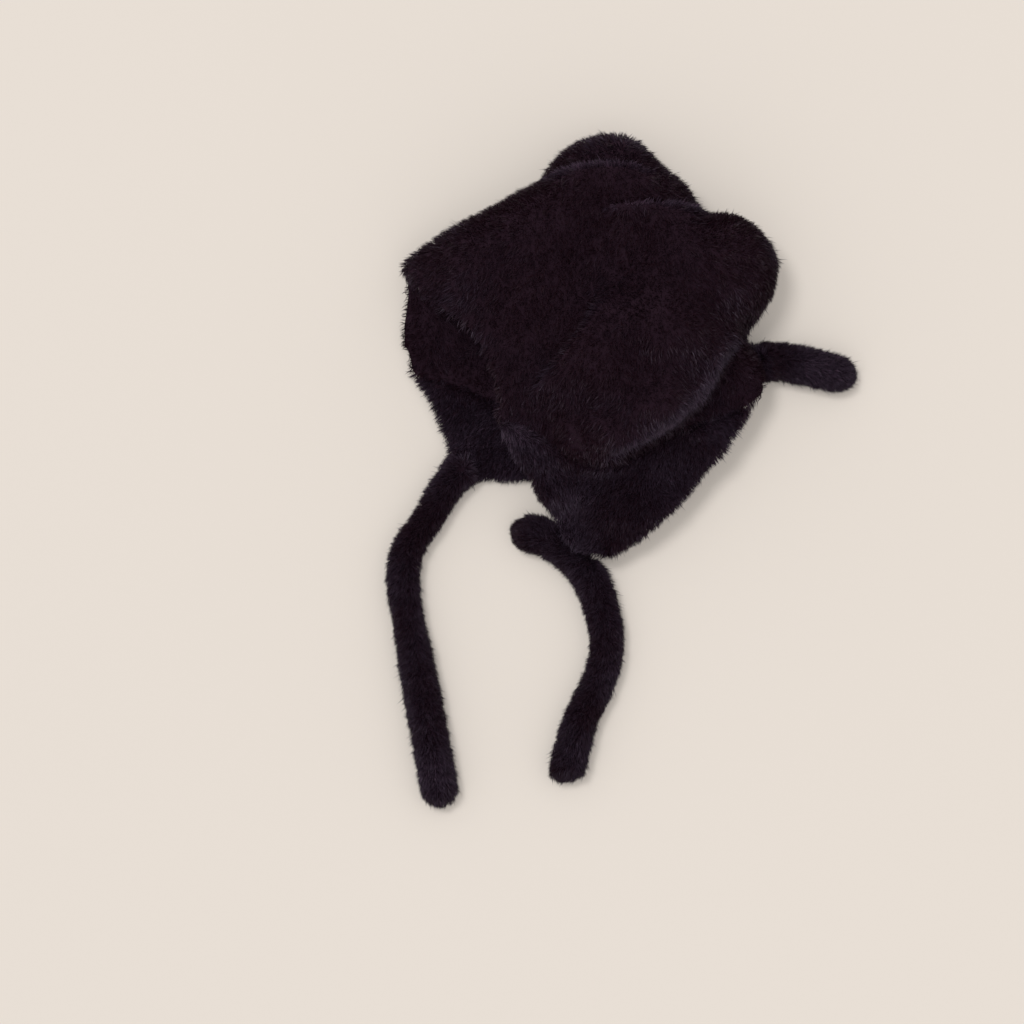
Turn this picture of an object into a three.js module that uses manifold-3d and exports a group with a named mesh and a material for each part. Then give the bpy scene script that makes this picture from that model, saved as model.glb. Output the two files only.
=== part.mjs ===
import * as THREE from "three";
import { mergeVertices } from "three/addons/utils/BufferGeometryUtils.js";
import Module from "manifold-3d";

// A soft plush fur bonnet that lies on its side: a slumped hollow crown, a near
// ear flap on top, a far ear flap on the surface below it, two round plush ties
// and a short plush tail at the nape. Millimetres, +Z up, the surface is Z = 0.
// Seen from above, +X runs to the right and +Y up along the crown.

const wasm = await Module();
wasm.setup();

// Driving sizes of the hat as it lies
const HAT_WIDTH = 298; // left outline to right outline
const HAT_LENGTH = 336; // crown top to the near flap's tip
const CROWN_RISE = 96; // top of the slumped lobe above the surface
const BROW_SHARE = 0.46; // height of the outline's roundest line, of the plush there
const ROUND_REACH = 30; // how far in from the outline the hat rounds over
const WALL = 9; // plush wall: the backing and its pile
const RIM_ROUND = 4; // how far an open edge bulges past its wall
const LOCK_RISE = 2.8; // how far the tip of a lock stands off the pile
const LOCK_LEAN = 3.4; // how far a lock's tip leans down the nap
const LOCK_ROOM = 9; // cells smaller than this have smaller locks
const LOCK_CLEAR = 12; // locks die away below this height
const GAP = 0.3; // clearance between neighbouring pieces

// Driving sizes of the ties and the tail
const TIE_WIDTH = 27;
const TIE_RISE = 23; // thickness of a tie as it lies
const FAR_TIE_LENGTH = 292;
const NEAR_TIE_LENGTH = 248;
const TAIL_WIDTH = 29;
const TAIL_RISE = 25;
const TAIL_LENGTH = 107;
const SEAT_DEPTH = 6; // how far the near flap presses into the tie below it
const TIP_RISE = TIE_RISE + WALL - SEAT_DEPTH;

// Mesh densities: rows run from the face opening round to the nape, stations
// from one seam or tip to the next
const CROWN_ROWS = 46;
const CROWN_NEAR_STATIONS = 26;
const CROWN_FAR_STATIONS = 12;
const FLAP_ROWS = 20;
const FLAP_STATIONS = 16;
const FINE_PER_COARSE = 2; // outer cells for each cell of the inner face
const TIE_SIDES = 12;
const TIE_STEP = 8; // spacing of a tie's rings

// Plan curves of the hat. Each row is a point, as shares of the hat's width
// from its left outline and of its length from the near flap's tip.
const OUTLINE = [
  { x: 0, y: 0.687 },
  { x: 0.092, y: 0.756 },
  { x: 0.229, y: 0.823 },
  { x: 0.358, y: 0.887 },
  { x: 0.408, y: 0.938 },
  { x: 0.471, y: 0.978 },
  { x: 0.56, y: 0.998 },
  { x: 0.634, y: 0.968 },
  { x: 0.684, y: 0.926 },
  { x: 0.746, y: 0.88 },
  { x: 0.79, y: 0.824 },
  { x: 0.846, y: 0.814 },
  { x: 0.905, y: 0.798 },
  { x: 0.957, y: 0.76 },
  { x: 0.989, y: 0.706 },
  { x: 0.986, y: 0.642 },
  { x: 0.969, y: 0.585 },
  { x: 0.953, y: 0.53 },
  { x: 0.951, y: 0.487 },
  { x: 0.963, y: 0.44 },
];
const NEAR_FRONT = [
  { x: 0.428, y: 0.046 },
  { x: 0.39, y: 0.104 },
  { x: 0.337, y: 0.18 },
  { x: 0.292, y: 0.249 },
  { x: 0.264, y: 0.325 },
  { x: 0.248, y: 0.4 },
  { x: 0.214, y: 0.489 },
  { x: 0.154, y: 0.555 },
  { x: 0.07, y: 0.608 },
  { x: 0, y: 0.687 },
];
const NEAR_TIP = [
  { x: 0.428, y: 0.046 },
  { x: 0.486, y: 0.014 },
  { x: 0.556, y: 0.012 },
  { x: 0.622, y: 0.037 },
];
const NEAR_NAPE = [
  { x: 0.622, y: 0.037 },
  { x: 0.688, y: 0.092 },
  { x: 0.757, y: 0.158 },
  { x: 0.826, y: 0.236 },
  { x: 0.887, y: 0.31 },
  { x: 0.932, y: 0.378 },
  { x: 0.963, y: 0.44 },
];
const FAR_FRONT = [
  { x: 0.108, y: 0.3 },
  { x: 0.071, y: 0.376 },
  { x: 0.035, y: 0.468 },
  { x: 0.016, y: 0.541 },
  { x: 0.014, y: 0.612 },
  { x: 0, y: 0.687 },
];
const FAR_TIP = [
  { x: 0.108, y: 0.3 },
  { x: 0.14, y: 0.24 },
  { x: 0.176, y: 0.2 },
  { x: 0.208, y: 0.191 },
  { x: 0.27, y: 0.187 },
];
const FAR_NAPE = [
  { x: 0.27, y: 0.187 },
  { x: 0.337, y: 0.186 },
  { x: 0.523, y: 0.212 },
  { x: 0.735, y: 0.296 },
  { x: 0.875, y: 0.376 },
  { x: 0.963, y: 0.44 },
];

// Heights of the near side. Each row is a place as shares of the width and the
// length, and the height there as a share of CROWN_RISE.
const HEIGHTS = [
  { at: "forehead corner", x: 0.058, y: 0.666, rise: 0.46 },
  { at: "front band, upper", x: 0.178, y: 0.595, rise: 0.6 },
  { at: "front band, middle", x: 0.271, y: 0.442, rise: 0.62 },
  { at: "front band, lower", x: 0.324, y: 0.301, rise: 0.52 },
  { at: "flap front", x: 0.403, y: 0.16, rise: 0.42 },
  { at: "flap middle", x: 0.576, y: 0.136, rise: 0.38 },
  { at: "flap tip on the tie", x: 0.418, y: 0.085, rise: TIP_RISE / CROWN_RISE },
  { at: "flap tip", x: 0.554, y: 0.02, rise: TIP_RISE / CROWN_RISE },
  { at: "flap rear", x: 0.735, y: 0.207, rise: 0.33 },
  { at: "flap under the lobe", x: 0.695, y: 0.262, rise: 0.4 },
  { at: "nape band", x: 0.828, y: 0.36, rise: 0.38 },
  { at: "nape corner", x: 0.934, y: 0.461, rise: 0.42 },
  { at: "valley before the lobe", x: 0.483, y: 0.642, rise: 0.66 },
  { at: "valley, lower", x: 0.363, y: 0.525, rise: 0.62 },
  { at: "crown front", x: 0.204, y: 0.701, rise: 0.62 },
  { at: "crown side", x: 0.363, y: 0.772, rise: 0.7 },
  { at: "lobe crest", x: 0.682, y: 0.536, rise: 1.0 },
  { at: "lobe, lower", x: 0.66, y: 0.37, rise: 0.82 },
  { at: "lobe, upper right", x: 0.788, y: 0.678, rise: 0.92 },
  { at: "lobe, left", x: 0.549, y: 0.466, rise: 0.86 },
  { at: "lobe, low left", x: 0.5, y: 0.325, rise: 0.66 },
  { at: "lobe, right edge", x: 0.934, y: 0.689, rise: 0.76 },
  { at: "middle roll", x: 0.655, y: 0.878, rise: 0.68 },
  { at: "middle roll, left", x: 0.5, y: 0.85, rise: 0.7 },
  { at: "top roll", x: 0.536, y: 0.965, rise: 0.54 },
];
const NEAREST_SHARE = 0.03; // softens each height near its own place

// Folds where one roll of plush laps over the next. The raised side is to the
// left of the row's way along its points. drop is a share of CROWN_RISE, and
// width and reach are shares of HAT_WIDTH.
const FOLDS = [
  {
    at: "lower edge of the lobe",
    drop: 0.26,
    width: 0.034,
    reach: 0.13,
    points: [
      [0.47, 0.222],
      [0.554, 0.235],
      [0.634, 0.271],
      [0.714, 0.32],
      [0.798, 0.386],
      [0.859, 0.475],
      [0.93, 0.56],
    ],
  },
  {
    at: "lobe over the middle roll",
    drop: 0.17,
    width: 0.03,
    reach: 0.1,
    points: [
      [0.83, 0.82],
      [0.785, 0.828],
      [0.703, 0.835],
      [0.629, 0.842],
      [0.52, 0.83],
    ],
  },
  {
    at: "middle roll over the top roll",
    drop: 0.16,
    width: 0.03,
    reach: 0.09,
    points: [
      [0.74, 0.9],
      [0.676, 0.927],
      [0.607, 0.936],
      [0.523, 0.934],
      [0.443, 0.925],
      [0.35, 0.89],
    ],
  },
  {
    at: "ridge down the lobe's front",
    drop: 0.13,
    width: 0.04,
    reach: 0.11,
    points: [
      [0.56, 0.66],
      [0.531, 0.607],
      [0.456, 0.518],
      [0.385, 0.438],
      [0.32, 0.36],
    ],
  },
];
const FOLD_FADE = 0.22; // share of a fold's line over which each end dies away
const FOLD_SAMPLES = 40;
const BROW_SAMPLES = 240;

// Seams between the crown and the ear flaps, as shares of the width and the
// length. front and nape say how far along each side's edges the seam ends, as
// shares of the edge from the flap's tip.
const NEAR_SEAM = {
  front: 0.41,
  nape: 0.8,
  points: [
    [0.36, 0.283],
    [0.46, 0.235],
    [0.554, 0.222],
    [0.634, 0.255],
    [0.714, 0.292],
    [0.8, 0.318],
  ],
};
const FAR_SEAM = {
  front: 0.33,
  nape: 0.6,
  points: [
    [0.15, 0.4],
    [0.32, 0.335],
    [0.5, 0.305],
  ],
};
const SEAM_OVERLAP = 8; // how far each panel runs past its seam before the cut
const SEAM_LEVEL = 12; // the far flap's seam only reaches this height

// Ways of the ties and the tail over the surface. Each row is a share of the
// length and the heading there, in degrees from +X towards +Y.
const FAR_TIE_WAY = [
  { share: 0, heading: -139 },
  { share: 0.04, heading: -134 },
  { share: 0.115, heading: -125 },
  { share: 0.23, heading: -119 },
  { share: 0.335, heading: -99 },
  { share: 0.433, heading: -84 },
  { share: 0.533, heading: -79 },
  { share: 1, heading: -81 },
];
const NEAR_TIE_WAY = [
  { share: 0, heading: 2 },
  { share: 0.06, heading: -8 },
  { share: 0.15, heading: -34 },
  { share: 0.29, heading: -66 },
  { share: 0.42, heading: -74 },
  { share: 0.5, heading: -85 },
  { share: 0.67, heading: -112 },
  { share: 0.77, heading: -112 },
  { share: 0.93, heading: -102 },
  { share: 1, heading: -88 },
];
const TAIL_WAY = [
  { share: 0, heading: -7 },
  { share: 0.5, heading: -10 },
  { share: 1, heading: -15 },
];
// Where each begins, as shares of the width and the length
const FAR_TIE_ROOT = { x: 0.178, y: 0.226 };
const NEAR_TIE_ROOT = { x: 0.29, y: 0.062 };
const TAIL_ROOT = { x: 0.85, y: 0.481 };

// Thickness of a strap along its length, as a share of its width
const STRAP_BODY = [
  { share: 0, full: 0.92 },
  { share: 0.35, full: 0.9 },
  { share: 0.7, full: 0.98 },
  { share: 1, full: 1.06 },
];
const TAIL_BODY = [
  { share: 0, full: 0.92 },
  { share: 0.6, full: 1.02 },
  { share: 1, full: 1.0 },
];

const COLOURS = { fur: 0x1b1015, flap: 0x1c1217, tie: 0x1d1319 };

// A point of the plan from its shares of the width and the length.
const spot = (x, y) =>
  new THREE.Vector3((x - 0.5) * HAT_WIDTH, (y - 0.5) * HAT_LENGTH, 0);

const curveThrough = (rows) =>
  new THREE.CatmullRomCurve3(
    rows.map((row) => spot(row.x, row.y)),
    false,
    "centripetal",
  );

const smooth = (edge0, edge1, value) =>
  THREE.MathUtils.smoothstep(value, edge0, edge1);

// The value of a table's column at a share of the length, between its rows.
function alongTable(rows, share, column) {
  const next = rows.findIndex((row) => row.share >= share);
  if (next <= 0) return rows[0][column];
  const [a, b] = [rows[next - 1], rows[next]];
  const part = (share - a.share) / (b.share - a.share);
  return THREE.MathUtils.lerp(a[column], b[column], part);
}

// A stretch of a curve between two shares of its length.
const stretch = (curve, from, to) => ({
  getPointAt: (share) =>
    curve.getPointAt(THREE.MathUtils.lerp(from, to, share)),
});

// The sheet between four plan curves that meet at its corners.
function planSheet({ low, high, front, nape }) {
  const corners = [low, high].map((curve) => [
    curve.getPointAt(0),
    curve.getPointAt(1),
  ]);
  return (u, v) => {
    const point = new THREE.Vector3()
      .addScaledVector(low.getPointAt(u), 1 - v)
      .addScaledVector(high.getPointAt(u), v)
      .addScaledVector(front.getPointAt(v), 1 - u)
      .addScaledVector(nape.getPointAt(v), u);
    corners.forEach(([start, end], side) => {
      const share = side ? v : 1 - v;
      point.addScaledVector(start, -(1 - u) * share);
      point.addScaledVector(end, -u * share);
    });
    return point;
  };
}

const outline = curveThrough(OUTLINE);
const sides = {
  near: {
    tip: curveThrough(NEAR_TIP),
    front: curveThrough(NEAR_FRONT),
    nape: curveThrough(NEAR_NAPE),
    seam: NEAR_SEAM,
  },
  far: {
    tip: curveThrough(FAR_TIP),
    front: curveThrough(FAR_FRONT),
    nape: curveThrough(FAR_NAPE),
    seam: FAR_SEAM,
  },
};

// A side's seam line, moved up the hat by shift.
function seamLine({ front, nape, seam }, shift) {
  const start = front.getPointAt(seam.front + shift / front.getLength());
  const end = nape.getPointAt(seam.nape + shift / nape.getLength());
  const middle = seam.points.map(([x, y]) => spot(x, y + shift / HAT_LENGTH));
  return new THREE.CatmullRomCurve3([start, ...middle, end], false, "centripetal");
}

// The outline with its lobes and notches evened out, for the crown's sheets.
const EVEN_PASSES = 40;
const EVEN_REACH = 100;
function evenedOutline() {
  let line = outline.getSpacedPoints(CROWN_ROWS);
  for (let pass = 0; pass < EVEN_PASSES; pass++)
    line = line.map((point, i) => {
      if (i === 0 || i === CROWN_ROWS) return point;
      const around = line[i - 1].clone().lerp(line[i + 1], 0.5);
      return around.lerp(point, 0.5);
    });
  return { getPointAt: (u) => line[Math.round(u * CROWN_ROWS)] };
}

// One side of the crown, from its seam up to the outline.
function crownSheet(side) {
  const { front, nape, seam } = side;
  const from = (edge, share) => share - SEAM_OVERLAP / edge.getLength();
  const even = evenedOutline();
  const sheet = planSheet({
    low: seamLine(side, -SEAM_OVERLAP),
    high: even,
    front: stretch(front, from(front, seam.front), 1),
    nape: stretch(nape, from(nape, seam.nape), 1),
  });
  return (u, v) => {
    const point = sheet(u, v);
    const away = point.distanceTo(even.getPointAt(u));
    const pull = 1 - smooth(0, EVEN_REACH, away);
    const shift = outline.getPointAt(u).sub(even.getPointAt(u));
    return point.addScaledVector(shift, pull);
  };
}

// An ear flap, from its tip up to its seam.
function flapSheet(side) {
  const { tip, front, nape, seam } = side;
  const upTo = (edge, share) => share + SEAM_OVERLAP / edge.getLength();
  return planSheet({
    low: tip,
    high: seamLine(side, SEAM_OVERLAP),
    front: stretch(front, 0, upTo(front, seam.front)),
    nape: stretch(nape, 0, upTo(nape, seam.nape)),
  });
}

// The height of the near side, blended from its table by nearness.
function slumpedHeight(point) {
  let sum = 0;
  let weights = 0;
  for (const row of HEIGHTS) {
    const place = spot(row.x, row.y);
    const far = place.distanceTo(point) / HAT_WIDTH;
    const weight = (far * far + NEAREST_SHARE * NEAREST_SHARE) ** -1.6;
    sum += weight * row.rise;
    weights += weight;
  }
  return (CROWN_RISE * sum) / weights;
}

const foldLines = FOLDS.map((fold) => {
  const rows = fold.points.map(([x, y]) => ({ x, y }));
  const line = curveThrough(rows).getSpacedPoints(FOLD_SAMPLES);
  return { ...fold, line };
});

// How far a fold lifts the plush at a point of the plan.
function foldLift({ drop, width, reach, line }, point) {
  let nearest = 1;
  for (let i = 2; i < line.length - 1; i++)
    if (line[i].distanceTo(point) < line[nearest].distanceTo(point))
      nearest = i;
  const way = line[nearest + 1].clone().sub(line[nearest - 1]).normalize();
  const off = point.clone().sub(line[nearest]);
  const side = way.x * off.y - way.y * off.x;
  const share = nearest / FOLD_SAMPLES;
  const fade =
    smooth(0, FOLD_FADE, share) * smooth(0, FOLD_FADE, 1 - share);
  const past = Math.abs(way.dot(off)) / (reach * HAT_WIDTH);
  const lip = smooth(-0.5, 0.5, side / (width * HAT_WIDTH));
  const dies = Math.exp(-((Math.max(side, 0) / (reach * HAT_WIDTH)) ** 2));
  return CROWN_RISE * drop * lip * dies * fade * Math.exp(-past * past);
}

// Shares of a row, even at its start and closer together towards the outline.
const CLOSE_SHARE = 0.22;
function towardsOutline(share) {
  const left = 1 - share;
  const eased =
    left < CLOSE_SHARE ? (left * left) / (2 * CLOSE_SHARE) : left - CLOSE_SHARE / 2;
  return 1 - eased / (1 - CLOSE_SHARE / 2);
}

// How far the plush has rounded over at a distance in from an edge: 0 on the
// edge and 1 where it lies flat.
function roundedOver(distance, reach) {
  const short = 1 - Math.min(distance / reach, 1);
  return Math.sqrt(1 - short * short);
}

// How far a place of the plan is from the outline, and the height of the
// outline's roundest line there.
const brows = outline.getSpacedPoints(BROW_SAMPLES);
function nearestBrow(point) {
  const flat = new THREE.Vector3(point.x, point.y, 0);
  let nearest = 1;
  brows.forEach((brow, i) => {
    if (brow.distanceToSquared(flat) < brows[nearest].distanceToSquared(flat))
      nearest = THREE.MathUtils.clamp(i, 1, BROW_SAMPLES - 1);
  });
  const feet = [nearest - 1, nearest].map((i) =>
    new THREE.Line3(brows[i], brows[i + 1]).closestPointToPoint(
      flat,
      true,
      new THREE.Vector3(),
    ),
  );
  const away = feet.map((foot) => foot.distanceTo(flat));
  const foot = feet[away[0] < away[1] ? 0 : 1];
  return {
    away: Math.min(...away),
    height: BROW_SHARE * slumpedHeight(foot),
  };
}

// The outer face over a place of the plan, on the near side or the far side.
function raised(point, near, folded) {
  const { away, height } = nearestBrow(point);
  const round = roundedOver(away, ROUND_REACH);
  if (!near) {
    point.z = height * (1 - round);
    return point;
  }
  let top = slumpedHeight(point);
  if (folded) for (const fold of foldLines) top += foldLift(fold, point);
  point.z = height + (top - height) * round;
  return point;
}

// A grid of points, [row][station].
const gridOf = (rows, stations, pointAt) =>
  Array.from({ length: rows + 1 }, (_, i) =>
    Array.from({ length: stations + 1 }, (_, j) => pointAt(i, j)),
  );

// The neighbours of a grid's place along its row and its station.
function around(grid, i, j) {
  const [a, b] = [Math.max(i - 1, 0), Math.min(i + 1, grid.length - 1)];
  const [c, d] = [Math.max(j - 1, 0), Math.min(j + 1, grid[0].length - 1)];
  return {
    across: grid[b][j].clone().sub(grid[a][j]),
    along: grid[i][d].clone().sub(grid[i][c]),
  };
}

// Unit normals of a grid, pointing out of the hat.
const normalsOf = (grid) =>
  grid.map((row, i) =>
    row.map((_, j) => {
      const { across, along } = around(grid, i, j);
      return across.cross(along).normalize();
    }),
  );

// Whether a place of the grid holds the tip of a lock.
const isLock = (i, j) => (i + j) % 2 === 0;

// The outer face with its locks standing off the pile and leaning down the nap.
function withLocks(grid) {
  const normals = normalsOf(grid);
  return grid.map((row, i) =>
    row.map((place, j) => {
      const point = place.clone();
      if (!isLock(i, j)) return point;
      const { across, along } = around(grid, i, j);
      const area = across.clone().cross(along).length();
      const cell = area / Math.max(across.length(), along.length()) / 2;
      const size = Math.min(1, cell / LOCK_ROOM) * smooth(0, LOCK_CLEAR, place.z);
      const nap = along.normalize();
      point.addScaledVector(normals[i][j], LOCK_RISE * size);
      point.addScaledVector(nap, LOCK_LEAN * size);
      point.z = Math.max(point.z, 0);
      return point;
    }),
  );
}

// Gathers vertices and triangles of one closed mesh.
class MeshMaker {
  constructor() {
    this.positions = [];
    this.faces = [];
  }
  add(point) {
    this.positions.push(point.x, point.y, point.z);
    return this.positions.length / 3 - 1;
  }
  tri(a, b, c) {
    this.faces.push(a, b, c);
  }
  quad(a, b, c, d) {
    this.tri(a, b, c);
    this.tri(a, c, d);
  }
  geometry() {
    const made = new THREE.BufferGeometry();
    made.setAttribute(
      "position",
      new THREE.Float32BufferAttribute(this.positions, 3),
    );
    made.setIndex(this.faces);
    return made;
  }
}

// The outer face in small cells. Each cell's diagonal joins its two low corners,
// so that every lock stands alone.
function layOuterFace(maker, outer) {
  const ids = outer.map((row) => row.map((point) => maker.add(point)));
  for (let i = 0; i < outer.length - 1; i++)
    for (let j = 0; j < outer[0].length - 1; j++) {
      const [a, b] = [ids[i][j], ids[i + 1][j]];
      const [c, d] = [ids[i + 1][j + 1], ids[i][j + 1]];
      if (isLock(i, j)) maker.quad(b, c, d, a);
      else maker.quad(a, b, c, d);
    }
  return ids;
}

// The inner face in coarse cells.
function layInnerFace(maker, inner) {
  const step = FINE_PER_COARSE;
  const ids = inner.map((row, i) =>
    row.map((point, j) => (i % step || j % step ? -1 : maker.add(point))),
  );
  for (let i = 0; i < inner.length - 1; i += step)
    for (let j = 0; j < inner[0].length - 1; j += step)
      maker.quad(
        ids[i][j],
        ids[i][j + step],
        ids[i + step][j + step],
        ids[i + step][j],
      );
  return ids;
}

// The grid places round a sheet's open edge.
function edgeLoop(rows, stations) {
  const loop = [];
  for (let j = 0; j < stations; j++) loop.push([0, j]);
  for (let i = 0; i < rows; i++) loop.push([i, stations]);
  for (let j = stations; j > 0; j--) loop.push([rows, j]);
  for (let i = rows; i > 0; i--) loop.push([i, 0]);
  return loop;
}

// The rounded edge that closes the wall between the outer and the inner face.
function layRim(maker, outer, inner, outerIds, innerIds) {
  const [rows, stations] = [outer.length - 1, outer[0].length - 1];
  const loop = edgeLoop(rows, stations);
  const middle = loop.map(([i, j], n) => {
    const back = [
      THREE.MathUtils.clamp(i, 1, rows - 1),
      THREE.MathUtils.clamp(j, 1, stations - 1),
    ];
    const outward = inner[i][j].clone().sub(inner[back[0]][back[1]]).normalize();
    const next = loop[(n + 1) % loop.length];
    const cell = outer[i][j].distanceTo(outer[next[0]][next[1]]);
    const lock = n % 2 ? 0 : LOCK_RISE * Math.min(1, cell / LOCK_ROOM);
    const point = outer[i][j]
      .clone()
      .lerp(inner[i][j], 0.5)
      .addScaledVector(outward, RIM_ROUND + lock);
    point.z = Math.max(point.z, 0);
    return maker.add(point);
  });
  const wrap = (n) => (n + loop.length) % loop.length;
  const outerAt = (n) => outerIds[loop[wrap(n)][0]][loop[wrap(n)][1]];
  const innerAt = (n) => innerIds[loop[wrap(n)][0]][loop[wrap(n)][1]];
  for (let n = 0; n < loop.length; n++)
    maker.quad(outerAt(n), outerAt(n + 1), middle[wrap(n + 1)], middle[n]);
  for (let n = 0; n < loop.length; n += FINE_PER_COARSE) {
    const [m0, m1, m2] = [0, 1, 2].map((k) => middle[wrap(n + k)]);
    maker.tri(m0, m1, innerAt(n));
    maker.tri(m1, innerAt(n + FINE_PER_COARSE), innerAt(n));
    maker.tri(m1, m2, innerAt(n + FINE_PER_COARSE));
  }
}

// A closed wall of plush. placeAt gives the outer face at a row and a station,
// with or without its folds.
function plushWall(rows, stations, placeAt) {
  const plain = gridOf(rows, stations, (i, j) => placeAt(i, j, false));
  const folded = gridOf(rows, stations, (i, j) => placeAt(i, j, true));
  const normals = normalsOf(plain);
  const inner = gridOf(rows, stations, (i, j) =>
    plain[i][j].clone().addScaledVector(normals[i][j], -WALL),
  );
  const outer = withLocks(folded);
  const maker = new MeshMaker();
  const outerIds = layOuterFace(maker, outer);
  const innerIds = layInnerFace(maker, inner);
  layRim(maker, outer, inner, outerIds, innerIds);
  return solidFrom(maker.geometry());
}

// The crown's wall, from the near seam over the outline to the far seam.
function crownWall() {
  const [near, far] = [crownSheet(sides.near), crownSheet(sides.far)];
  const stations = CROWN_NEAR_STATIONS + CROWN_FAR_STATIONS;
  return plushWall(CROWN_ROWS, stations, (i, j, folded) => {
    const isNear = j <= CROWN_NEAR_STATIONS;
    const share = isNear
      ? j / CROWN_NEAR_STATIONS
      : 1 - (j - CROWN_NEAR_STATIONS) / CROWN_FAR_STATIONS;
    const sheet = isNear ? near : far;
    const place = sheet(i / CROWN_ROWS, towardsOutline(share));
    return raised(place, isNear, folded);
  });
}

// An ear flap's wall. The far flap is laid the other way so it faces down.
function flapWall(side, isNear) {
  const sheet = flapSheet(side);
  return plushWall(FLAP_ROWS, FLAP_STATIONS, (i, j, folded) => {
    const share = j / FLAP_STATIONS;
    const place = sheet(i / FLAP_ROWS, isNear ? share : 1 - share);
    return raised(place, isNear, folded);
  });
}

// A closed geometry as a solid that can be cut.
function solidFrom(geometry) {
  const bare = geometry.clone();
  bare.deleteAttribute("normal");
  bare.deleteAttribute("uv");
  const merged = mergeVertices(bare);
  return new wasm.Manifold(
    new wasm.Mesh({
      numProp: 3,
      vertProperties: merged.attributes.position.array,
      triVerts: new Uint32Array(merged.index.array),
    }),
  );
}

// The largest body of a cut solid, as a named mesh.
function pieceFrom(name, solid, colour) {
  const bodies = solid.decompose().sort((a, b) => b.volume() - a.volume());
  const cut = bodies[0].getMesh();
  const geometry = new THREE.BufferGeometry();
  geometry.setAttribute(
    "position",
    new THREE.BufferAttribute(cut.vertProperties, 3),
  );
  geometry.setIndex(new THREE.BufferAttribute(cut.triVerts, 1));
  geometry.computeVertexNormals();
  const material = new THREE.MeshStandardMaterial({
    color: colour,
    roughness: 0.95,
    metalness: 0,
  });
  const mesh = new THREE.Mesh(geometry, material);
  mesh.name = name;
  return mesh;
}

// A block over the part of the plan below a side's seam, between two heights.
// grow moves the seam up the crown.
function blockBelow(side, low, high, grow) {
  const line = seamLine(side, grow);
  const points = line.getSpacedPoints(24);
  const [start, end] = [0, 1].map((share) => line.getTangentAt(share));
  const clear = HAT_LENGTH;
  points.unshift(points[0].clone().addScaledVector(start, -clear / 4));
  points.push(points[points.length - 1].clone().addScaledVector(end, clear / 4));
  const shape = new THREE.Shape();
  points.forEach(({ x, y }, i) => (i ? shape.lineTo(x, y) : shape.moveTo(x, y)));
  shape.lineTo(HAT_WIDTH, -clear);
  shape.lineTo(-HAT_WIDTH, -clear);
  const block = new THREE.ExtrudeGeometry(shape, {
    depth: high - low,
    bevelEnabled: false,
  });
  block.translate(0, 0, low);
  return solidFrom(block);
}

// A solid with the clearance that its neighbours keep from it.
const SIDES = [-GAP, GAP].flatMap((step) => [
  [step, 0, 0],
  [0, step, 0],
  [0, 0, step],
]);
const roomAround = (solid) =>
  SIDES.reduce((room, side) => room.add(solid.translate(side)), solid);

// A round plush strap that lies on the surface along a table of headings.
function strap({ root, way, body, length, width, rise }) {
  const rings = Math.ceil(length / TIE_STEP);
  const centres = [spot(root.x, root.y)];
  const headings = [];
  for (let i = 0; i < rings; i++) {
    const share = (i + 0.5) / rings;
    const heading = THREE.MathUtils.degToRad(
      alongTable(way, share, "heading"),
    );
    headings.push(heading);
    const step = new THREE.Vector3(Math.cos(heading), Math.sin(heading), 0);
    centres.push(centres[i].clone().addScaledVector(step, length / rings));
  }
  headings.push(headings[rings - 1]);
  const maker = new MeshMaker();
  const ids = centres.map((centre, i) => {
    const share = i / rings;
    const toEnd = Math.min(i, rings - i) * (length / rings);
    const end = roundedOver(toEnd + width * 0.06, width * 0.5);
    const full = alongTable(body, share, "full") * end;
    const side = new THREE.Vector3(-Math.sin(headings[i]), Math.cos(headings[i]), 0);
    return Array.from({ length: TIE_SIDES }, (_, k) => {
      const turn = (k / TIE_SIDES) * 2 * Math.PI;
      const lock = isLock(i, k) && Math.sin(turn) > -0.3 ? LOCK_RISE : 0;
      const out = (width / 2) * full + lock;
      const up = (rise / 2) * full + lock;
      const point = centre.clone().addScaledVector(side, -out * Math.cos(turn));
      point.z = Math.max(0, rise * 0.45 * (0.35 + 0.65 * full) + up * Math.sin(turn));
      return maker.add(point);
    });
  });
  for (let i = 0; i < rings; i++)
    for (let k = 0; k < TIE_SIDES; k++) {
      const next = (k + 1) % TIE_SIDES;
      const [a, b] = [ids[i][k], ids[i + 1][k]];
      const [c, d] = [ids[i + 1][next], ids[i][next]];
      if (isLock(i, k)) maker.quad(b, c, d, a);
      else maker.quad(a, b, c, d);
    }
  for (let k = 1; k < TIE_SIDES - 1; k++) {
    maker.tri(ids[0][0], ids[0][k], ids[0][k + 1]);
    maker.tri(ids[rings][0], ids[rings][k + 1], ids[rings][k]);
  }
  return solidFrom(maker.geometry());
}

const ABOVE = CROWN_RISE * 2;
const { near, far } = sides;
const crown = crownWall()
  .subtract(blockBelow(near, SEAM_LEVEL, ABOVE, GAP))
  .subtract(blockBelow(far, -WALL, SEAM_LEVEL, GAP));
const nearFlap = flapWall(near, true).intersect(
  blockBelow(near, SEAM_LEVEL, ABOVE, 0),
);
const farFlap = flapWall(far, false).intersect(
  blockBelow(far, -WALL, SEAM_LEVEL, 0),
);
const tie = { body: STRAP_BODY, width: TIE_WIDTH, rise: TIE_RISE };
const farTie = strap({
  ...tie,
  root: FAR_TIE_ROOT,
  way: FAR_TIE_WAY,
  length: FAR_TIE_LENGTH,
}).subtract(roomAround(farFlap));
const nearTie = strap({
  ...tie,
  root: NEAR_TIE_ROOT,
  way: NEAR_TIE_WAY,
  length: NEAR_TIE_LENGTH,
}).subtract(roomAround(nearFlap));
const tail = strap({
  root: TAIL_ROOT,
  way: TAIL_WAY,
  body: TAIL_BODY,
  length: TAIL_LENGTH,
  width: TAIL_WIDTH,
  rise: TAIL_RISE,
}).subtract(roomAround(crown));

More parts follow.
